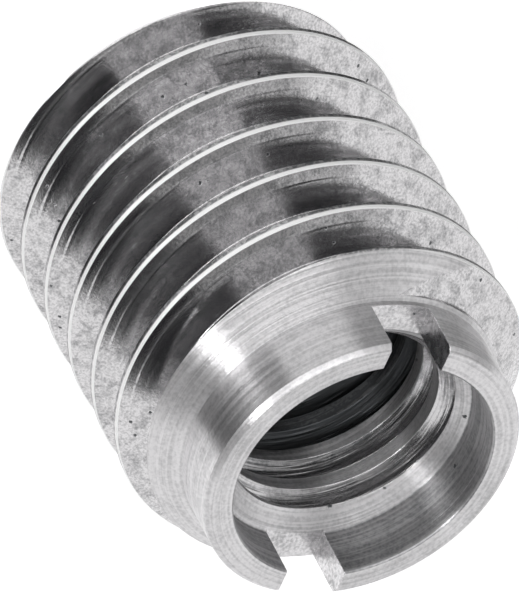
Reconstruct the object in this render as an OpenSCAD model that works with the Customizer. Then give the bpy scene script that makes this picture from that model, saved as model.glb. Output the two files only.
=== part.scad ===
// Slotted thread reducer: a turned steel bush that screws into a tapped hole
// and leaves a smaller tapped hole in its place.
// Millimetres. The axis is Z, the flat end lies on Z = 0 and the slotted end is up.

/* [Body] */
// Length over all, from the flat end to the slotted end
body_l = 9.6; // [7:0.1:16]
// Chamfer at the flat end, along the axis and along the radius
end_chamfer = 0.7; // [0.2:0.05:1]

/* [Outer thread] */
// Diameter over the crests of the outer thread
outer_d = 7.9; // [7.7:0.1:10]
// Pitch of the outer thread
outer_pitch = 1.25; // [0.8:0.05:1.35]
// Angle about the axis at which the outer groove leaves the flat end
outer_lead = 274; // [0:1:359]

/* [Inner thread] */
// Diameter over the roots of the inner thread
inner_d = 5; // [4.7:0.05:5.2]
// Pitch of the inner thread
inner_pitch = 0.8; // [0.5:0.05:0.9]
// Diameter of the hole inside the crests of the inner thread
inner_bore_d = 4.3; // [3.8:0.05:4.4]
// Angle about the axis at which the inner groove leaves the flat end
inner_lead = 28; // [0:1:359]
// Width of the countersink's rim beyond the inner thread at the flat end
end_sink = 0.12; // [0.05:0.01:0.3]

/* [Collar] */
// Length of the plain collar at the slotted end
collar_l = 1.25; // [1.2:0.05:2]
// How far the collar lies below the outer thread's root
collar_relief = 0.083; // [0.05:0.001:0.2]
// Slope of the shoulder between collar and thread, from the cross section
shoulder_angle = 35; // [15:1:50]
// Break on the collar's outer edge
collar_break = 0.1; // [0.02:0.01:0.15]

/* [Counterbore] */
// Gap between the inner thread's root and the counterbore's wall
counterbore_gap = 0.1; // [0.05:0.01:0.2]
// Length of the counterbore's straight wall
counterbore_l = 1.1; // [0.5:0.05:3]
// Slope of the counterbore's floor, from the cross section
counterbore_slope = 30; // [10:1:50]
// Break on the counterbore's rim
mouth_break = 0.03; // [0.02:0.01:0.1]

/* [Screwdriver slot] */
// Width of the slot across the collar
slot_w = 1.25; // [0.6:0.05:2]
// Depth of the slot below the slotted end
slot_depth = 1.13; // [0.5:0.01:1.2]

/* [Hidden] */
$fn = 120;

// 60 degree threads: flank slope, and flats and depth as shares of the pitch
flank_slope = tan(30);
outer_crest_share = 1 / 8;
outer_depth_share = 0.5736;
inner_root_share = 1 / 8;
// Sides of a swept groove in one turn
outer_steps = 50;
inner_steps = 34;
// How far a cutter reaches past the surface that it cuts
reach = 0.1;
clear = 1;

outer_r = outer_d / 2;
outer_root_r = outer_r - outer_depth_share * outer_pitch;
inner_r = inner_d / 2;
inner_bore_r = inner_bore_d / 2;
collar_r = outer_root_r - collar_relief;
counterbore_r = inner_r + counterbore_gap;
sink_r = inner_r + end_sink;

collar_z = body_l - collar_l;
shoulder_z = collar_z - (outer_r - collar_r) * tan(shoulder_angle);
counterbore_z = body_l - counterbore_l;
bore_z = counterbore_z - (counterbore_r - inner_bore_r) * tan(counterbore_slope);

// The turned outline, before any thread is cut
module blank() {
    rotate_extrude()
        polygon([
            [0, 0],
            [outer_r - end_chamfer, 0],
            [outer_r, end_chamfer],
            [outer_r, shoulder_z],
            [collar_r, collar_z],
            [collar_r, body_l - collar_break],
            [collar_r - collar_break, body_l],
            [0, body_l]
        ]);
}

// The hole: countersink, thread bore, counterbore with its sloped floor, and rim break
module bore() {
    rotate_extrude()
        polygon([
            [0, -clear],
            [sink_r + clear, -clear],
            [inner_bore_r, sink_r - inner_bore_r],
            [inner_bore_r, bore_z],
            [counterbore_r, counterbore_z],
            [counterbore_r, body_l - mouth_break],
            [counterbore_r + mouth_break + clear, body_l + clear],
            [0, body_l + clear]
        ]);
}

// The slot for the screwdriver, straight across the collar
module driver_slot() {
    translate([-collar_r - clear, -slot_w / 2, body_l - slot_depth])
        cube([2 * (collar_r + clear), slot_w, slot_depth + clear]);
}

// Corners of a groove's section at one angle, from the radius and half width
// of its side nearer the axis and of its side farther out
function section_at(angle, z, section) = [
    for (corner = [[0, -1], [0, 1], [1, 1], [1, -1]])
        let (r = section[corner[0]][0], half_w = section[corner[0]][1])
            [r * cos(angle), r * sin(angle), z + corner[1] * half_w]
];

// A right-hand helical groove cutter whose centre climbs from z_low to z_high
module groove(pitch, lead, section, z_low, z_high, steps) {
    first = floor(z_low / pitch * steps);
    last = ceil(z_high / pitch * steps);
    rings = last - first;
    points = [
        for (i = [first:last])
            each section_at(lead + i * 360 / steps, i * pitch / steps, section)
    ];
    sides = [
        for (i = [0:rings - 1], k = [0:3])
            let (a = 4 * i + k, b = 4 * i + (k + 1) % 4)
                each [[a, a + 4, b + 4], [a, b + 4, b]]
    ];
    caps = [[0, 1, 2, 3], [for (k = [3:-1:0]) 4 * rings + k]];
    polyhedron(points = points, faces = concat(sides, caps), convexity = 20);
}

module outer_groove() {
    mouth_r = outer_r + reach;
    mouth_half = (1 - outer_crest_share) * outer_pitch / 2 + reach * flank_slope;
    root_half = mouth_half - (mouth_r - outer_root_r) * flank_slope;
    groove(
        outer_pitch, outer_lead,
        [[outer_root_r, root_half], [mouth_r, mouth_half]],
        -outer_pitch / 2, collar_z + outer_pitch / 2, outer_steps
    );
}

module inner_groove() {
    mouth_r = inner_bore_r - reach;
    root_half = inner_root_share * inner_pitch / 2;
    mouth_half = root_half + (inner_r - mouth_r) * flank_slope;
    groove(
        inner_pitch, inner_lead,
        [[mouth_r, mouth_half], [inner_r, root_half]],
        -inner_pitch / 2, counterbore_z + inner_pitch / 2, inner_steps
    );
}

module reducer_body() {
    color([0.68, 0.67, 0.68])
        difference() {
            blank();
            bore();
            driver_slot();
            outer_groove();
            inner_groove();
        }
}

reducer_body();
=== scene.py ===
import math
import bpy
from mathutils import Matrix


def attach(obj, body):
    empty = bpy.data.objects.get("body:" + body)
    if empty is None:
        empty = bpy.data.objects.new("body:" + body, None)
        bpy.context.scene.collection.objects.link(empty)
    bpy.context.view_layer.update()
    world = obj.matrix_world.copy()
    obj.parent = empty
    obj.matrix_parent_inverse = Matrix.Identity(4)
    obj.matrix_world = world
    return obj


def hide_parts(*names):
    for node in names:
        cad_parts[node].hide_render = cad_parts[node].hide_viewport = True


bl_info = {
    "name": "Thread reducer",
    "version": (1, 0, 0),
    "blender": (4, 5, 0),
    "location": "3D View > Sidebar > Reducer",
    "description": "Cuts a slotted steel thread reducer and sets it on a pale studio floor",
    "category": "Object",
}

import bpy
from mathutils import Matrix, Vector

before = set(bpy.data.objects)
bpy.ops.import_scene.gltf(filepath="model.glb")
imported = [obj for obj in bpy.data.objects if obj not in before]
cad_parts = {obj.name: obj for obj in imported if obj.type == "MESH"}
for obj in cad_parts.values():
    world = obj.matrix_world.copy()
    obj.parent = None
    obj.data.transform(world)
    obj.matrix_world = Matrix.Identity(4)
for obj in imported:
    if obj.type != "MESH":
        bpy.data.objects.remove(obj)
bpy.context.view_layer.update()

MM = 0.001
FLANK_SLOPE = math.tan(math.radians(30))

# Fineness of the meshes: sides of a turned surface, and steps of a groove in one turn
TURNED_SIDES = 360
OUTER_STEPS, INNER_STEPS = 187, 139
# How far cutters reach past the surface that they cut
CLEAR = 0.3 * MM
GROOVE_REACH = 0.1 * MM
# Flats of the 60 degree threads, as shares of the pitch
OUTER_CREST_SHARE = INNER_ROOT_SHARE = 1 / 8
SHARP_ANGLE = math.radians(25)

# Pattern values at which each mark is absent and full
CLOUD_RANGE = (0.42, 0.68)
GRAIN_RANGE = (0.3, 0.7)
RING_RANGE = (0.35, 0.65)
BURR_RANGE = (0.4, 0.55)
# Fineness of grain, pits and the pits' ragged edges, against the clouds
GRAIN_FINENESS, PIT_FINENESS, RAGGED_FINENESS = 6.0, 0.9, 9.0
PIT_RAGGEDNESS = 0.18
# Distances from a pit's middle at which it starts to fade and is gone
PIT_EDGE = (0.17, 0.21)
# Stain that lies everywhere, painted shade on the counterbore wall, stain on all burrs, and on top
# of that in their streaks
FILM = 0.1
WALL_SHADE = 0.38
BURR_STAIN, BURR_STREAKS = 0.3, 0.4
# Depth over which the counterbore wall's painted shade comes in, and height over which the painted
# shade deeper in the bore fades
WALL_DEPTH = 0.04 * MM
DEPTH_SHADE_FADE = 1.2 * MM
# Clean steel against its set colour, and what grooves, stain with its painted shade, and the
# crests' painted highlight do to its polish
CLEAN_STEEL = 1.1
ROUGH_SPREAD = 0.15
STAIN_ROUGHNESS = 0.08
CREST_ROUGHNESS = 0.3
CREST_METAL = -0.7
BUMP_HEIGHT = 0.004 * MM

# Strips across the outer thread: where each one starts, is full, begins to fall and ends.
# The first two are shares of the pitch from the groove's middle, the others depths below the crest
# The crest strip is where the painted highlight lies on each crest
CREST_HIGHLIGHT_STRIP = (0.5, 0.512, 0.568, 0.58)
BURR_STRIP = (0.42, 0.435, 0.485, 0.5)
RIDGE_STRIP = (0.15 * MM, 0.195 * MM, 0.195 * MM, 0.24 * MM)
CREST_FADE = (0.01 * MM, 0.03 * MM)

# Bearings are degrees left of the camera, heights degrees up, and the rest metres
MIDDLE = Vector((0, 0, 0.005))
# The world's light, and what the camera and clear reflections see on top of the light
WORLD_LIGHT, WORLD_SEEN = 0.5, 0.46
FLOOR_SIZE, FLOOR_COLOUR, FLOOR_SEEN = 3, (0.8, 0.8, 0.8), 0.58
# Name, bearing, height, distance, size, radiance and turn
LAMPS = (
    ("key_strip", 41, 33, 0.2, (0.026, 0.2), 9.0, -12),
    ("front_softbox", -5, 38, 0.25, (0.24, 0.1), 1.9, 0),
)
# Name, colour and glow
CARD_MATERIALS = (
    ("black", (0.01, 0.01, 0.012), 0.0),
    ("grey", (0, 0, 0), 0.27),
    ("pale", (0, 0, 0), 0.5),
    ("light", (0, 0, 0), 0.62),
    ("dusk", (0, 0, 0), 0.45),
    ("night", (0, 0, 0), 0.06),
)
# Name, bearing, height, distance, size and material
CARDS = (
    ("left_flag", 72, 20, 0.06, (0.04, 0.055), "dusk"),
    ("left_flag_high", 80, 64, 0.11, (0.072, 0.05), "black"),
    ("top_card", 0, 87, 0.13, (0.1, 0.09), "grey"),
    ("right_card", -82, 61, 0.15, (0.08, 0.07), "pale"),
    ("right_low_card", -106, 10, 0.12, (0.07, 0.06), "night"),
)
# Name, two bearings, two radii and material
FLOOR_CARDS = (
    ("front_floor_card", (-34, 12), (0.0045, 0.0123), "light"),
    ("front_floor_card", (-34, 12), (0.0146, 0.08), "light"),
    ("side_floor_card", (-135, -92), (0.008, 0.03), "grey"),
    ("right_floor_card", (-90, -34), (0.0045, 0.0123), "black"),
    ("right_floor_card", (-90, -34), (0.0146, 0.08), "black"),
    ("left_floor_card", (12, 78), (0.0045, 0.0123), "black"),
    ("left_floor_card", (12, 40), (0.0123, 0.0146), "pale"),
    ("left_floor_card", (40, 78), (0.0123, 0.0146), "dusk"),
    ("left_floor_card", (12, 78), (0.0146, 0.08), "black"),
)
FLOOR_CARD_STEPS = 12
FLOOR_CARD_HEIGHT = 0.0001


# ---------------------------------------------------------------- settings


class ReducerSizes(bpy.types.PropertyGroup):
    """Sizes of the turned body, in metres"""

    body_l: bpy.props.FloatProperty(
        name="Length",
        description="Length over all, flat end to slotted end",
        default=9.6 * MM,
        unit="LENGTH",
    )
    end_chamfer: bpy.props.FloatProperty(
        name="End chamfer", description="Chamfer at the flat end", default=0.7 * MM, unit="LENGTH"
    )
    outer_d: bpy.props.FloatProperty(
        name="Outer thread",
        description="Diameter over the outer crests",
        default=7.9 * MM,
        unit="LENGTH",
    )
    outer_pitch: bpy.props.FloatProperty(
        name="Outer pitch",
        description="Pitch of the outer thread",
        default=1.25 * MM,
        unit="LENGTH",
    )
    outer_depth: bpy.props.FloatProperty(
        name="Outer depth",
        description="Depth of the outer groove",
        default=0.717 * MM,
        unit="LENGTH",
    )
    outer_lead: bpy.props.FloatProperty(
        name="Outer start",
        description="Angle at which the outer groove leaves the flat end",
        default=math.radians(274),
        subtype="ANGLE",
    )
    inner_d: bpy.props.FloatProperty(
        name="Inner thread",
        description="Diameter over the inner roots",
        default=5 * MM,
        unit="LENGTH",
    )
    inner_pitch: bpy.props.FloatProperty(
        name="Inner pitch",
        description="Pitch of the inner thread",
        default=0.8 * MM,
        unit="LENGTH",
    )
    inner_bore_d: bpy.props.FloatProperty(
        name="Inner bore",
        description="Diameter inside the inner crests",
        default=4.3 * MM,
        unit="LENGTH",
    )
    inner_lead: bpy.props.FloatProperty(
        name="Inner start",
        description="Angle at which the inner groove leaves the flat end",
        default=math.radians(28),
        subtype="ANGLE",
    )
    end_sink: bpy.props.FloatProperty(
        name="Countersink",
        description="Countersink beyond the inner thread",
        default=0.12 * MM,
        unit="LENGTH",
    )
    collar_l: bpy.props.FloatProperty(
        name="Collar length",
        description="Length of the plain collar",
        default=1.25 * MM,
        unit="LENGTH",
    )
    collar_r: bpy.props.FloatProperty(
        name="Collar radius",
        description="Radius of the plain collar",
        default=3.15 * MM,
        unit="LENGTH",
    )
    shoulder_slope: bpy.props.FloatProperty(
        name="Shoulder slope",
        description="Slope of the shoulder below the collar",
        default=math.radians(35),
        subtype="ANGLE",
    )
    collar_break: bpy.props.FloatProperty(
        name="Collar edge",
        description="Break on the collar's edge",
        default=0.1 * MM,
        unit="LENGTH",
    )
    counterbore_r: bpy.props.FloatProperty(
        name="Counterbore radius",
        description="Radius of the counterbore",
        default=2.6 * MM,
        unit="LENGTH",
    )
    counterbore_slope: bpy.props.FloatProperty(
        name="Counterbore slope",
        description="Slope of the counterbore's floor",
        default=math.radians(30),
        subtype="ANGLE",
    )
    counterbore_l: bpy.props.FloatProperty(
        name="Counterbore length",
        description="Length of its straight wall",
        default=1.1 * MM,
        unit="LENGTH",
    )
    mouth_break: bpy.props.FloatProperty(
        name="Mouth edge",
        description="Break on the counterbore's rim",
        default=0.03 * MM,
        unit="LENGTH",
    )
    slot_w: bpy.props.FloatProperty(
        name="Slot width",
        description="Width of the screwdriver slot",
        default=1.25 * MM,
        unit="LENGTH",
    )
    slot_depth: bpy.props.FloatProperty(
        name="Slot depth",
        description="Depth of the screwdriver slot",
        default=1.13 * MM,
        unit="LENGTH",
    )


class SteelFinish(bpy.types.PropertyGroup):
    """Colour and wear of the turned steel"""

    colour: bpy.props.FloatVectorProperty(
        name="Steel",
        description="Colour of clean steel",
        default=(0.68, 0.67, 0.68),
        size=3,
        subtype="COLOR",
    )
    # Also the colour of the painted shade on the counterbore wall and deeper in the bore
    stain: bpy.props.FloatVectorProperty(
        name="Stain",
        description="Colour of oil and soot in pits",
        default=(0.10, 0.105, 0.11),
        size=3,
        subtype="COLOR",
    )
    # Painted highlight: a near-white colour laid on the crests so that they look lit
    crest: bpy.props.FloatVectorProperty(
        name="Crests",
        description="Colour of the painted_highlight crests",
        default=(0.95, 0.95, 0.95),
        size=3,
        subtype="COLOR",
    )
    roughness: bpy.props.FloatProperty(
        name="Roughness",
        description="Roughness of clean steel",
        default=0.33,
        min=0,
        max=1,
        subtype="FACTOR",
    )
    mark_spacing: bpy.props.FloatProperty(
        name="Tool marks",
        description="Spacing of the lathe's marks",
        default=0.05 * MM,
        unit="LENGTH",
    )
    edge_radius: bpy.props.FloatProperty(
        name="Edge radius",
        description="Softening of worn edges",
        default=0.03 * MM,
        unit="LENGTH",
    )


class StudioSettings(bpy.types.PropertyGroup):
    """Camera and light"""

    azimuth: bpy.props.FloatProperty(
        name="Azimuth",
        description="Camera's bearing round the axis",
        default=math.radians(-48.3724),
        subtype="ANGLE",
    )
    elevation: bpy.props.FloatProperty(
        name="Elevation",
        description="Camera's height above the floor",
        default=math.radians(41.2206),
        subtype="ANGLE",
    )
    roll: bpy.props.FloatProperty(
        name="Roll",
        description="Camera's turn about its own view",
        default=math.radians(151.5364),
        subtype="ANGLE",
    )
    distance: bpy.props.FloatProperty(
        name="Distance",
        description="Camera's distance from the aim",
        default=0.29308,
        unit="LENGTH",
    )
    lens: bpy.props.FloatProperty(
        name="Lens", description="Focal length in millimetres", default=934.343, unit="CAMERA"
    )
    lamp_level: bpy.props.FloatProperty(
        name="Lamps", description="Level of all lamps together", default=1.0, min=0
    )
    aim: bpy.props.FloatVectorProperty(
        name="Aim",
        description="Point at the middle of the picture",
        default=(0.0000589, -0.0001958, 0.0047018),
        size=3,
        unit="LENGTH",
        precision=6,
    )


# ---------------------------------------------------------------- meshes


def new_object(name, points, faces, material):
    mesh = bpy.data.meshes.new(name)
    mesh.from_pydata(points, [], faces)
    mesh.update()
    mesh.materials.append(material)
    for face in mesh.polygons:
        face.use_smooth = True
    made = bpy.data.objects.new(name, mesh)
    bpy.context.scene.collection.objects.link(made)
    return made


def turned(name, outline, material):
    """A solid turned about Z from (radius, height) corners, with flat discs at both ends."""
    sides = TURNED_SIDES
    points, faces = [], []
    for radius, height in outline:
        for i in range(sides):
            a = math.tau * i / sides
            points.append((radius * math.cos(a), radius * math.sin(a), height))
    for ring in range(len(outline) - 1):
        for i in range(sides):
            j = (i + 1) % sides
            low, high = ring * sides, (ring + 1) * sides
            faces.append((low + i, low + j, high + j, high + i))
    last = (len(outline) - 1) * sides
    faces.append(tuple(range(sides - 1, -1, -1)))
    faces.append(tuple(last + i for i in range(sides)))
    return new_object(name, points, faces, material)


def swept_groove(name, pitch, lead, section, z_low, z_high, steps, material):
    """A right-hand helical cutter. section is (radius, half width) near the axis, then far."""
    first = math.floor(z_low / pitch * steps)
    rings = math.ceil(z_high / pitch * steps) - first
    points, faces = [], []
    for i in range(first, first + rings + 1):
        a, z = lead + math.tau * i / steps, i * pitch / steps
        for side, sign in ((0, -1), (0, 1), (1, 1), (1, -1)):
            radius, half = section[side]
            points.append((radius * math.cos(a), radius * math.sin(a), z + sign * half))
    for i in range(rings):
        for k in range(4):
            a, b = 4 * i + k, 4 * i + (k + 1) % 4
            faces += [(a, b + 4, a + 4), (a, b, b + 4)]
    last = 4 * rings
    faces += [(3, 2, 1, 0), (last, last + 1, last + 2, last + 3)]
    return new_object(name, points, faces, material)


def cut(body, cutter):
    """Cuts and leaves the cutter's finish on the new faces."""
    modifier = body.modifiers.new("cut", "BOOLEAN")
    modifier.operation = "DIFFERENCE"
    modifier.solver = "EXACT"
    modifier.material_mode = "TRANSFER"
    modifier.object = cutter
    graph = bpy.context.evaluated_depsgraph_get()
    mesh = bpy.data.meshes.new_from_object(body.evaluated_get(graph))
    body.modifiers.clear()
    old = body.data
    body.data = mesh
    bpy.data.meshes.remove(old)
    bpy.data.objects.remove(cutter)


def reducer_mesh(size, steels):
    outer_r, root_r = size.outer_d / 2, size.outer_d / 2 - size.outer_depth
    inner_r, bore_r = size.inner_d / 2, size.inner_bore_d / 2
    top = size.body_l
    collar_z = top - size.collar_l
    shoulder_z = collar_z - (outer_r - size.collar_r) * math.tan(size.shoulder_slope)
    floor_z = top - size.counterbore_l
    bore_z = floor_z - (size.counterbore_r - bore_r) * math.tan(size.counterbore_slope)
    sink_r = inner_r + size.end_sink
    blank = [
        (outer_r - size.end_chamfer, 0),
        (outer_r, size.end_chamfer),
        (outer_r, shoulder_z),
        (size.collar_r, collar_z),
        (size.collar_r, top - size.collar_break),
        (size.collar_r - size.collar_break, top),
    ]
    body = turned("reducer", blank, steels["turned"])
    hole = [
        (sink_r + CLEAR, -CLEAR),
        (bore_r, sink_r - bore_r),
        (bore_r, bore_z),
        (size.counterbore_r, floor_z),
        (size.counterbore_r, top - size.mouth_break),
        (size.counterbore_r + size.mouth_break + CLEAR, top + CLEAR),
    ]
    cut(body, turned("hole", hole, steels["bore"]))
    reach, half = 2 * size.collar_r, size.slot_w / 2
    levels = (top - size.slot_depth, top + CLEAR)
    corners = [(x, y, z) for z in levels for y in (-half, half) for x in (-reach, reach)]
    sides = [(0, 2, 3, 1), (4, 5, 7, 6), (0, 1, 5, 4), (1, 3, 7, 5), (3, 2, 6, 7), (2, 0, 4, 6)]
    cut(body, new_object("slot", corners, sides, steels["milled"]))
    pitch = size.outer_pitch
    mouth_r = outer_r + GROOVE_REACH
    mouth_half = pitch * (1 - OUTER_CREST_SHARE) / 2 + GROOVE_REACH * FLANK_SLOPE
    section = ((root_r, mouth_half - (mouth_r - root_r) * FLANK_SLOPE), (mouth_r, mouth_half))
    ends = (-pitch / 2, collar_z + pitch / 2, OUTER_STEPS)
    groove = swept_groove("outer_groove", pitch, size.outer_lead, section, *ends, steels["thread"])
    cut(body, groove)
    pitch = size.inner_pitch
    mouth_r = bore_r - GROOVE_REACH
    root_half = pitch * INNER_ROOT_SHARE / 2
    section = ((mouth_r, root_half + (inner_r - mouth_r) * FLANK_SLOPE), (inner_r, root_half))
    ends = (-pitch / 2, floor_z + pitch / 2, INNER_STEPS)
    steel = steels["inner_thread"]
    cut(body, swept_groove("inner_groove", pitch, size.inner_lead, section, *ends, steel))
    return body


# ---------------------------------------------------------------- nodes


def node(tree, kind, at, values=(), **settings):
    """Adds a node, its settings and its unlinked input values."""
    made = tree.nodes.new(kind)
    made.location = at
    for key, value in settings.items():
        setattr(made, key, value)
    for key, value in dict(values).items():
        made.inputs[key].default_value = value
    return made


def join(tree, *pairs):
    for start, end in pairs:
        tree.links.new(start, end)


def math_node(tree, at, operation, first, second=0.0, third=None, clamp=False):
    """A Math node whose inputs are sockets or plain numbers."""
    made = node(tree, "ShaderNodeMath", at, operation=operation, use_clamp=clamp)
    for socket, value in zip(made.inputs, (first, second, third)):
        if isinstance(value, bpy.types.NodeSocket):
            tree.links.new(value, socket)
        elif value is not None:
            socket.default_value = value
    return made.outputs[0]


def band(tree, at, value, low, high, to_low=0.0, to_high=1.0):
    """A value fitted from one range to another, with smooth ends."""
    made = node(
        tree,
        "ShaderNodeMapRange",
        at,
        {"From Min": low, "From Max": high, "To Min": to_low, "To Max": to_high},
        interpolation_type="SMOOTHSTEP",
    )
    tree.links.new(value, made.inputs["Value"])
    return made.outputs[0]


def strip(tree, at, value, edges):
    """A mask that rises between the first two edges and falls between the last two."""
    x, y = at
    rise = band(tree, at, value, edges[0], edges[1])
    fall = band(tree, (x, y - 200), value, edges[2], edges[3], 1.0, 0.0)
    return math_node(tree, (x + 200, y), "MULTIPLY", rise, fall)


def seen_rays(tree, at):
    """1 where the camera, a clear reflection or a clear refraction looks, else 0."""
    x, y = at
    path = node(tree, "ShaderNodeLightPath", at)
    camera, glossy = path.outputs["Is Camera Ray"], path.outputs["Is Glossy Ray"]
    both = math_node(tree, (x + 200, y), "MAXIMUM", camera, glossy)
    return math_node(tree, (x + 350, y), "MAXIMUM", both, path.outputs["Is Transmission Ray"])


def new_group(name, inputs, outputs):
    """A shader group of plain values. inputs are (name, value) pairs and outputs are names."""
    tree = bpy.data.node_groups.new(name, "ShaderNodeTree")
    for label, value in inputs:
        socket = tree.interface.new_socket(
            name=label, in_out="INPUT", socket_type="NodeSocketFloat"
        )
        socket.default_value = value
    for label in outputs:
        tree.interface.new_socket(name=label, in_out="OUTPUT", socket_type="NodeSocketFloat")
    start = node(tree, "NodeGroupInput", (-1200, 0))
    end = node(tree, "NodeGroupOutput", (600, 0))
    return tree, start, end


def object_axes(tree, at):
    """X, Y and Z of a point in the object's own space."""
    place = node(tree, "ShaderNodeTexCoord", at)
    axes = node(tree, "ShaderNodeSeparateXYZ", (at[0] + 200, at[1]))
    join(tree, (place.outputs["Object"], axes.inputs[0]))
    return [axes.outputs[label] for label in "XYZ"]


# ---------------------------------------------------------------- steel


def lathe_marks_group():
    """Fine rings left by the tool. They follow radius and height, and hardly change with angle."""
    tree, start, end = new_group(
        "Lathe marks",
        [("Spacing", 0.05 * MM), ("Waver", 0.6)],
        ["Height", "Streaks", "Radius", "Level"],
    )
    x, y, z = object_axes(tree, (-1200, -300))
    flat = node(tree, "ShaderNodeCombineXYZ", (-800, -300))
    radius = node(tree, "ShaderNodeVectorMath", (-600, -300), operation="LENGTH")
    unit = node(tree, "ShaderNodeVectorMath", (-600, -500), operation="NORMALIZE")
    turn = node(tree, "ShaderNodeSeparateXYZ", (-400, -500))
    join(
        tree,
        (x, flat.inputs["X"]),
        (y, flat.inputs["Y"]),
        (flat.outputs[0], radius.inputs[0]),
        (flat.outputs[0], unit.inputs[0]),
        (unit.outputs[0], turn.inputs[0]),
    )
    spacing, waver = start.outputs["Spacing"], start.outputs["Waver"]
    across = math_node(tree, (-400, -300), "DIVIDE", radius.outputs["Value"], spacing)
    along = math_node(tree, (-400, -150), "DIVIDE", z, spacing)
    east = math_node(tree, (-200, -500), "MULTIPLY", turn.outputs["X"], waver)
    north = math_node(tree, (-200, -650), "MULTIPLY", turn.outputs["Y"], waver)
    point = node(tree, "ShaderNodeCombineXYZ", (0, -400))
    join(tree, (east, point.inputs["X"]), (north, point.inputs["Y"]), (along, point.inputs["Z"]))
    for label, row, scale, detail in (("Height", -300, 1.0, 1.0), ("Streaks", -600, 0.3, 2.0)):
        values = {"Scale": scale, "Detail": detail, "Roughness": 0.5}
        pattern = node(tree, "ShaderNodeTexNoise", (200, row), values, noise_dimensions="4D")
        join(
            tree,
            (point.outputs[0], pattern.inputs["Vector"]),
            (across, pattern.inputs["W"]),
            (pattern.outputs["Fac"], end.inputs[label]),
        )
    join(tree, (radius.outputs["Value"], end.inputs["Radius"]), (z, end.inputs["Level"]))
    return tree


def mottle_group():
    """Cloudy staining, fine grain and ragged pits, in object space."""
    tree, start, end = new_group(
        "Mottle and pits", [("Size", 0.4 * MM), ("Pits", 0.3)], ["Cloud", "Pit", "Grain"]
    )
    place = node(tree, "ShaderNodeTexCoord", (-1400, -300)).outputs["Object"]
    scale = math_node(tree, (-1200, -100), "DIVIDE", 1.0, start.outputs["Size"])
    values = {"Detail": 5.0, "Roughness": 0.65, "Distortion": 0.5}
    cloud = node(tree, "ShaderNodeTexNoise", (-600, 0), values)
    values = {"Detail": 1.5, "Roughness": 0.6}
    grain = node(tree, "ShaderNodeTexNoise", (-600, -300), values)
    values = {"Detail": 2.0, "Roughness": 0.6}
    ragged = node(tree, "ShaderNodeTexNoise", (-600, -900), values)
    pits = node(tree, "ShaderNodeTexVoronoi", (-600, -600), {"Randomness": 1.0})
    patterns = (
        (cloud, 1.0),
        (grain, GRAIN_FINENESS),
        (pits, PIT_FINENESS),
        (ragged, RAGGED_FINENESS),
    )
    for row, (pattern, fineness) in enumerate(patterns):
        fine = math_node(tree, (-900, -300 * row), "MULTIPLY", scale, fineness)
        join(tree, (place, pattern.inputs["Vector"]), (fine, pattern.inputs["Scale"]))
    edge, distance = ragged.outputs["Fac"], pits.outputs["Distance"]
    far = math_node(tree, (-400, -700), "MULTIPLY_ADD", edge, PIT_RAGGEDNESS, distance)
    dot = band(tree, (-250, -600), far, *PIT_EDGE, 1.0, 0.0)
    pick = node(tree, "ShaderNodeSeparateColor", (-400, -1000))
    join(tree, (pits.outputs["Color"], pick.inputs[0]))
    some = math_node(tree, (-100, -800), "LESS_THAN", pick.outputs[0], start.outputs["Pits"])
    pit = math_node(tree, (100, -600), "MULTIPLY", dot, some)
    join(
        tree,
        (cloud.outputs["Fac"], end.inputs["Cloud"]),
        (grain.outputs["Fac"], end.inputs["Grain"]),
        (pit, end.inputs["Pit"]),
    )
    return tree


def crest_group(size):
    """The painted highlight on one half of the outer crest, the burred half, and a fine tool ridge
    on the flanks.
    """
    tree, start, end = new_group(
        "Thread crest",
        [
            ("Pitch", size.outer_pitch),
            ("Lead", size.outer_lead),
            ("Crest radius", size.outer_d / 2),
        ],
        ["Crest", "Burr", "Ridge"],
    )
    x, y, z = object_axes(tree, (-1400, -300))
    angle = math_node(tree, (-1000, -400), "ARCTAN2", y, x)
    angle = math_node(tree, (-850, -400), "SUBTRACT", angle, start.outputs["Lead"])
    turns = math_node(tree, (-700, -400), "DIVIDE", angle, math.tau)
    rise = math_node(tree, (-700, -200), "DIVIDE", z, start.outputs["Pitch"])
    phase = math_node(tree, (-550, -300), "SUBTRACT", rise, turns)
    phase = math_node(tree, (-400, -300), "FRACT", phase)
    across = math_node(tree, (-700, -600), "MULTIPLY", x, x)
    across = math_node(tree, (-550, -600), "MULTIPLY_ADD", y, y, across)
    radius = math_node(tree, (-400, -600), "SQRT", across)
    depth = math_node(tree, (-250, -600), "SUBTRACT", start.outputs["Crest radius"], radius)
    shallow = band(tree, (-100, -600), depth, *CREST_FADE, 1.0, 0.0)
    # The painted highlight's place on each crest
    crest = strip(tree, (-200, 0), phase, CREST_HIGHLIGHT_STRIP)
    crest = math_node(tree, (200, 0), "MULTIPLY", crest, shallow)
    burr = strip(tree, (-200, -900), phase, BURR_STRIP)
    burr = math_node(tree, (200, -300), "MULTIPLY", burr, shallow)
    ridge = strip(tree, (-200, -1300), depth, RIDGE_STRIP)
    join(
        tree,
        (crest, end.inputs["Crest"]),
        (burr, end.inputs["Burr"]),
        (ridge, end.inputs["Ridge"]),
    )
    return tree


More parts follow.
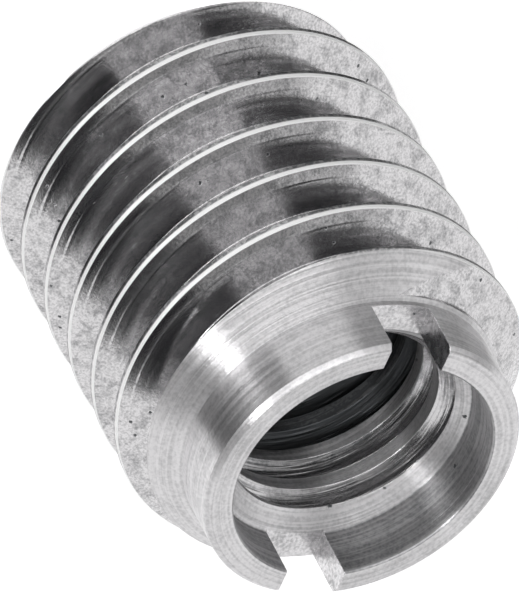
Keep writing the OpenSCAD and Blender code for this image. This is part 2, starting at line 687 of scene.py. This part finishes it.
def stain_and_shade_mask(tree, marks, mottle, look):
    """How stained and shaded the steel is: film, clouds, grain and rings, then painted shade on
    the counterbore wall and deeper in the bore, then pits.
    """
    cloud = band(tree, (-600, 350), mottle.outputs["Cloud"], *CLOUD_RANGE, 0.0, look["stain"])
    share = look["grain"]
    grain = band(tree, (-600, 150), mottle.outputs["Grain"], *GRAIN_RANGE, -share, share)
    share = look["rings"]
    rings = band(tree, (-600, 0), marks.outputs["Height"], *RING_RANGE, -share, share)
    stain = math_node(tree, (-500, 300), "ADD", cloud, grain)
    stain = math_node(tree, (-450, 300), "ADD", stain, FILM)
    stain = math_node(tree, (-400, 300), "ADD", stain, rings, clamp=True)
    # Painted shade: the counterbore wall is darkened in colour
    if look["shaded_wall"]:
        start, full = look["shaded_wall"] - WALL_DEPTH, look["shaded_wall"]
        wall = band(tree, (-500, 500), marks.outputs["Radius"], start, full, 0.0, WALL_SHADE)
        stain = math_node(tree, (-350, 450), "ADD", stain, wall, clamp=True)
    # Painted shade: the steel is darker deeper in the bore
    if look["shaded_below"]:
        full, start = look["shaded_below"] - DEPTH_SHADE_FADE, look["shaded_below"]
        deep = band(tree, (-500, 700), marks.outputs["Level"], full, start, look["soot"], 0.0)
        stain = math_node(tree, (-350, 600), "ADD", stain, deep, clamp=True)
    return math_node(tree, (-250, 300), "MAXIMUM", stain, mottle.outputs["Pit"])


def surface_height(tree, marks, mottle, look):
    """Tool marks and grain, less the pits."""
    height = math_node(tree, (-400, -200), "MULTIPLY", marks.outputs["Height"], look["marks"])
    grain, share = mottle.outputs["Grain"], look["grain_height"]
    height = math_node(tree, (-250, -200), "MULTIPLY_ADD", grain, share, height)
    return math_node(tree, (-100, -200), "SUBTRACT", height, mottle.outputs["Pit"])


def mix_colours(tree, at, mask, first, second):
    """A mix of two colours, each a socket or three numbers."""
    mix = node(tree, "ShaderNodeMix", at, data_type="RGBA")
    join(tree, (mask, mix.inputs["Factor"]))
    for label, colour in (("A", first), ("B", second)):
        if isinstance(colour, bpy.types.NodeSocket):
            join(tree, (colour, mix.inputs[label]))
        else:
            mix.inputs[label].default_value = (*colour, 1)
    return mix.outputs["Result"]


def steel_material(name, finish, groups, look):
    """Steel with tool marks in the bump, and stain, grain, pits, painted shade and painted crest
    highlights in colour and roughness.
    """
    material = bpy.data.materials.new(name)
    material.use_nodes = True
    tree = material.node_tree
    tree.nodes.clear()
    metal = look["metal"]
    values = {"Metallic": metal, "Anisotropic": look["streak"], "Anisotropic Rotation": 0.25}
    shader = node(tree, "ShaderNodeBsdfPrincipled", (900, 0), values)
    output = node(tree, "ShaderNodeOutputMaterial", (1200, 0))
    tangent = node(tree, "ShaderNodeTangent", (600, -500), direction_type="RADIAL", axis="Z")
    values = {"Spacing": finish.mark_spacing}
    marks = node(tree, "ShaderNodeGroup", (-900, -300), values, node_tree=groups["marks"])
    values = {"Size": look["cloud_size"], "Pits": look["pits"]}
    mottle = node(tree, "ShaderNodeGroup", (-900, 200), values, node_tree=groups["mottle"])
    stain = stain_and_shade_mask(tree, marks, mottle, look)
    clean = [CLEAN_STEEL * look["shade"] * part for part in finish.colour]
    colour = mix_colours(tree, (-50, 300), stain, clean, finish.stain)
    smooth, coarse = look["rough"] * (1 - ROUGH_SPREAD), look["rough"] * (1 + ROUGH_SPREAD)
    rough = band(tree, (-400, 50), marks.outputs["Streaks"], *RING_RANGE, smooth, coarse)
    rough = math_node(tree, (-200, 50), "MULTIPLY_ADD", stain, STAIN_ROUGHNESS, rough)
    height = surface_height(tree, marks, mottle, look)
    edge = node(tree, "ShaderNodeBevel", (0, -400), {"Radius": finish.edge_radius}, samples=6)
    bump = node(tree, "ShaderNodeBump", (300, -250), {"Strength": 1.0, "Distance": BUMP_HEIGHT})
    if look["crests"]:
        group = node(tree, "ShaderNodeGroup", (-600, 650), node_tree=groups["crest"])
        crest, burr, ridge = (group.outputs[label] for label in ("Crest", "Burr", "Ridge"))
        streaks = band(tree, (0, 700), mottle.outputs["Grain"], *BURR_RANGE)
        streaks = math_node(tree, (100, 700), "MULTIPLY_ADD", streaks, BURR_STREAKS, BURR_STAIN)
        burr = math_node(tree, (150, 700), "MULTIPLY", burr, streaks)
        # Painted highlight: the crests get a near-white colour and less metal, so they look lit
        colour = mix_colours(tree, (300, 400), crest, colour, finish.crest)
        colour = mix_colours(tree, (500, 400), burr, colour, finish.stain)
        rough = math_node(tree, (300, 100), "MULTIPLY_ADD", crest, CREST_ROUGHNESS, rough)
        height = math_node(tree, (50, -200), "MULTIPLY_ADD", ridge, look["ridge"], height)
        metal = math_node(tree, (300, 0), "MULTIPLY_ADD", crest, CREST_METAL, metal)
        join(tree, (metal, shader.inputs["Metallic"]))
    join(
        tree,
        (colour, shader.inputs["Base Color"]),
        (rough, shader.inputs["Roughness"]),
        (height, bump.inputs["Height"]),
        (edge.outputs[0], bump.inputs["Normal"]),
        (bump.outputs[0], shader.inputs["Normal"]),
        (tangent.outputs[0], shader.inputs["Tangent"]),
        (shader.outputs[0], output.inputs["Surface"]),
    )
    return material


def steel_materials(size, finish):
    """One steel with five finishes: turned, cut thread, hole, inner thread and milled slot."""
    groups = {
        "marks": lathe_marks_group(),
        "mottle": mottle_group(),
        "crest": crest_group(size),
    }
    # streak stretches highlights round the axis. marks, grain_height and ridge are heights in
    # the bump. rings, grain and stain are shares of stain, the share deep in the bore is painted
    # shade, and pits of places with a pit
    turned_look = {
        "streak": 0.92,
        "metal": 1.0,
        "shade": 1.0,
        "rough": finish.roughness,
        "rings": 0.1,
        "marks": 2.5,
        "grain": 0.1,
        "grain_height": 0.5,
        "stain": 0.12,
        "cloud_size": 0.45 * MM,
        "pits": 0.12,
        "crests": True,
        "ridge": 0.0,
        "shaded_wall": 0,
        "shaded_below": 0,
        "soot": 0,
    }
    changes = {
        "turned": {},
        "thread": {
            "streak": 0.0,
            "rough": 0.15,
            "rings": 0.0,
            "marks": 0.1,
            "grain": 0.18,
            "grain_height": 0.25,
            "stain": 0.4,
            "cloud_size": 0.3 * MM,
            "pits": 0.32,
            "ridge": 0.5,
        },
        "bore": {
            "streak": 0.9,
            "metal": 0.9,
            "rough": 0.34,
            "rings": 0.14,
            "crests": False,
            # Painted shade: the counterbore wall and the bore deeper down are darkened in colour
            "shaded_wall": size.counterbore_r,
            "shaded_below": size.body_l - 2.4 * MM,
            "soot": 0.9,
        },
        "inner_thread": {
            "streak": 0.5,
            "shade": 0.92,
            "rough": 0.22,
            "rings": 0.25,
            "stain": 0.3,
            "crests": False,
            # Painted shade: darker deeper in the bore
            "shaded_below": size.body_l - 2.2 * MM,
            "soot": 1.0,
        },
        "milled": {
            "streak": 0.0,
            "rough": 0.25,
            "rings": 0.0,
            "marks": 0.3,
            "grain": 0.2,
            "stain": 0.3,
            "crests": False,
        },
    }
    return {
        name: steel_material(name + "_steel", finish, groups, {**turned_look, **change})
        for name, change in changes.items()
    }


# ---------------------------------------------------------------- studio


def plain_material(name, colour, emission=0.0, seen=0.0):
    """A matt surface. seen adds light that only the camera and clear reflections meet."""
    material = bpy.data.materials.new(name)
    material.use_nodes = True
    tree = material.node_tree
    tree.nodes.clear()
    matt = node(tree, "ShaderNodeBsdfDiffuse", (0, 0), {"Color": (*colour, 1)})
    glow = node(tree, "ShaderNodeEmission", (0, -200), {"Color": (1, 1, 1, 1)})
    rays = seen_rays(tree, (-600, -200))
    level = math_node(tree, (-100, -200), "MULTIPLY_ADD", rays, seen, emission)
    add = node(tree, "ShaderNodeAddShader", (250, 0))
    output = node(tree, "ShaderNodeOutputMaterial", (450, 0))
    join(
        tree,
        (level, glow.inputs["Strength"]),
        (matt.outputs[0], add.inputs[0]),
        (glow.outputs[0], add.inputs[1]),
        (add.outputs[0], output.inputs["Surface"]),
    )
    return material


def direction(studio, bearing):
    """The angle about Z of a bearing in degrees left of the camera."""
    return studio.azimuth - math.radians(90) + math.radians(bearing)


def set_toward(made, studio, bearing, height, distance, turn=0):
    """Puts a lamp or card round the object, facing its middle."""
    a, e = direction(studio, bearing), math.radians(height)
    way = Vector((math.cos(a) * math.cos(e), math.sin(a) * math.cos(e), math.sin(e)))
    made.location = MIDDLE + distance * way
    look = (MIDDLE - made.location).to_track_quat("-Z", "Y")
    made.rotation_mode = "QUATERNION"
    turned_by = Matrix.Rotation(math.radians(turn), 3, "Z").to_quaternion()
    made.rotation_quaternion = look @ turned_by


def add_lamp(studio, name, bearing, height, distance, size, radiance, turn):
    data = bpy.data.lights.new(name, "AREA")
    data.shape = "RECTANGLE"
    data.size, data.size_y = size
    data.energy = radiance * math.pi * size[0] * size[1] * studio.lamp_level
    lamp = bpy.data.objects.new(name, data)
    set_toward(lamp, studio, bearing, height, distance, turn)
    bpy.context.scene.collection.objects.link(lamp)


def add_card(studio, name, bearing, height, distance, size, material):
    """A card that only reflections see."""
    x, y = size[0] / 2, size[1] / 2
    corners = [(-x, -y, 0), (x, -y, 0), (x, y, 0), (-x, y, 0)]
    card = new_object(name, corners, [(0, 1, 2, 3)], material)
    set_toward(card, studio, bearing, height, distance)
    reflected_only(card)


def add_floor_card(studio, name, bearings, radii, material):
    """A fan-shaped card just above the floor."""
    points, faces = [], []
    for i in range(FLOOR_CARD_STEPS + 1):
        bearing = bearings[0] + (bearings[1] - bearings[0]) * i / FLOOR_CARD_STEPS
        a = direction(studio, bearing)
        points += [(radius * math.cos(a), radius * math.sin(a), 0) for radius in radii]
    for i in range(FLOOR_CARD_STEPS):
        faces.append((2 * i, 2 * i + 1, 2 * i + 3, 2 * i + 2))
    card = new_object(name, points, faces, material)
    card.location = (0, 0, FLOOR_CARD_HEIGHT)
    reflected_only(card)


def reflected_only(card):
    card.visible_camera = False
    card.visible_diffuse = False
    card.visible_shadow = False


# ---------------------------------------------------------------- operators


class REDUCER_OT_body(bpy.types.Operator):
    """Turns the body, cuts both threads and the slot, and gives it its steel"""

    bl_idname = "reducer.body"
    bl_label = "Cut the reducer"

    def execute(self, context):
        size = context.scene.reducer_sizes
        body = reducer_mesh(size, steel_materials(size, context.scene.reducer_finish))
        body.data.shade_smooth()
        body.data.set_sharp_from_angle(angle=SHARP_ANGLE)
        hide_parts("reducer_body")
        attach(body, "root")
        return {"FINISHED"}


class REDUCER_OT_stage(bpy.types.Operator):
    """Sets the floor, the world, the lamps and the camera"""

    bl_idname = "reducer.stage"
    bl_label = "Set the studio"

    def execute(self, context):
        studio = context.scene.reducer_studio
        context.scene.view_settings.view_transform = "Standard"
        self.add_world(context)
        far = FLOOR_SIZE
        corners = [(-far, -far, 0), (far, -far, 0), (far, far, 0), (-far, far, 0)]
        pale = plain_material("pale_floor", FLOOR_COLOUR, seen=FLOOR_SEEN)
        floor = new_object("floor", corners, [(0, 1, 2, 3)], pale)
        self.add_lights(studio)
        self.add_camera(context, studio)
        return {"FINISHED"}

    def add_world(self, context):
        world = bpy.data.worlds.new("studio")
        context.scene.world = world
        world.use_nodes = True
        tree = world.node_tree
        tree.nodes.clear()
        rays = seen_rays(tree, (-600, 0))
        level = math_node(tree, (-100, 0), "MULTIPLY_ADD", rays, WORLD_SEEN, WORLD_LIGHT)
        sky = node(tree, "ShaderNodeBackground", (100, 0), {"Color": (1, 1, 1, 1)})
        output = node(tree, "ShaderNodeOutputWorld", (300, 0))
        join(tree, (level, sky.inputs["Strength"]), (sky.outputs[0], output.inputs["Surface"]))

    def add_lights(self, studio):
        materials = {
            name: plain_material(name + "_card", colour, emission=glow)
            for name, colour, glow in CARD_MATERIALS
        }
        for lamp in LAMPS:
            add_lamp(studio, *lamp)
        for *card, material in CARDS:
            add_card(studio, *card, materials[material])
        for *card, material in FLOOR_CARDS:
            add_floor_card(studio, *card, materials[material])

    def add_camera(self, context, studio):
        data = bpy.data.cameras.new("camera")
        data.lens = studio.lens
        data.clip_start, data.clip_end = 0.01, 10
        camera = bpy.data.objects.new("camera", data)
        a, e = studio.azimuth, studio.elevation
        back = Vector((math.sin(a) * math.cos(e), -math.cos(a) * math.cos(e), math.sin(e)))
        camera.location = Vector(studio.aim) + back * studio.distance
        level = (-back).to_track_quat("-Z", "Y")
        camera.rotation_mode = "QUATERNION"
        roll = Matrix.Rotation(studio.roll, 3, "Z").to_quaternion()
        camera.rotation_quaternion = level @ roll
        context.scene.collection.objects.link(camera)
        context.scene.camera = camera


class REDUCER_PT_panel(bpy.types.Panel):
    """Lists the sizes, the finish and the studio"""

    bl_label = "Thread reducer"
    bl_space_type = "VIEW_3D"
    bl_region_type = "UI"
    bl_category = "Reducer"

    def draw(self, context):
        scene = context.scene
        for operator, settings in (
            (REDUCER_OT_body, (scene.reducer_sizes, scene.reducer_finish)),
            (REDUCER_OT_stage, (scene.reducer_studio,)),
        ):
            box = self.layout.box()
            for group in settings:
                for name in group.__annotations__:
                    box.prop(group, name)
            box.operator(operator.bl_idname)


CLASSES = (
    ReducerSizes,
    SteelFinish,
    StudioSettings,
    REDUCER_OT_body,
    REDUCER_OT_stage,
    REDUCER_PT_panel,
)


def register():
    for made in CLASSES:
        bpy.utils.register_class(made)
    bpy.types.Scene.reducer_sizes = bpy.props.PointerProperty(type=ReducerSizes)
    bpy.types.Scene.reducer_finish = bpy.props.PointerProperty(type=SteelFinish)
    bpy.types.Scene.reducer_studio = bpy.props.PointerProperty(type=StudioSettings)


def unregister():
    del bpy.types.Scene.reducer_sizes
    del bpy.types.Scene.reducer_finish
    del bpy.types.Scene.reducer_studio
    for made in reversed(CLASSES):
        bpy.utils.unregister_class(made)


def main():
    register()
    bpy.ops.reducer.body()
    bpy.ops.reducer.stage()


if __name__ == "__main__":
    main()
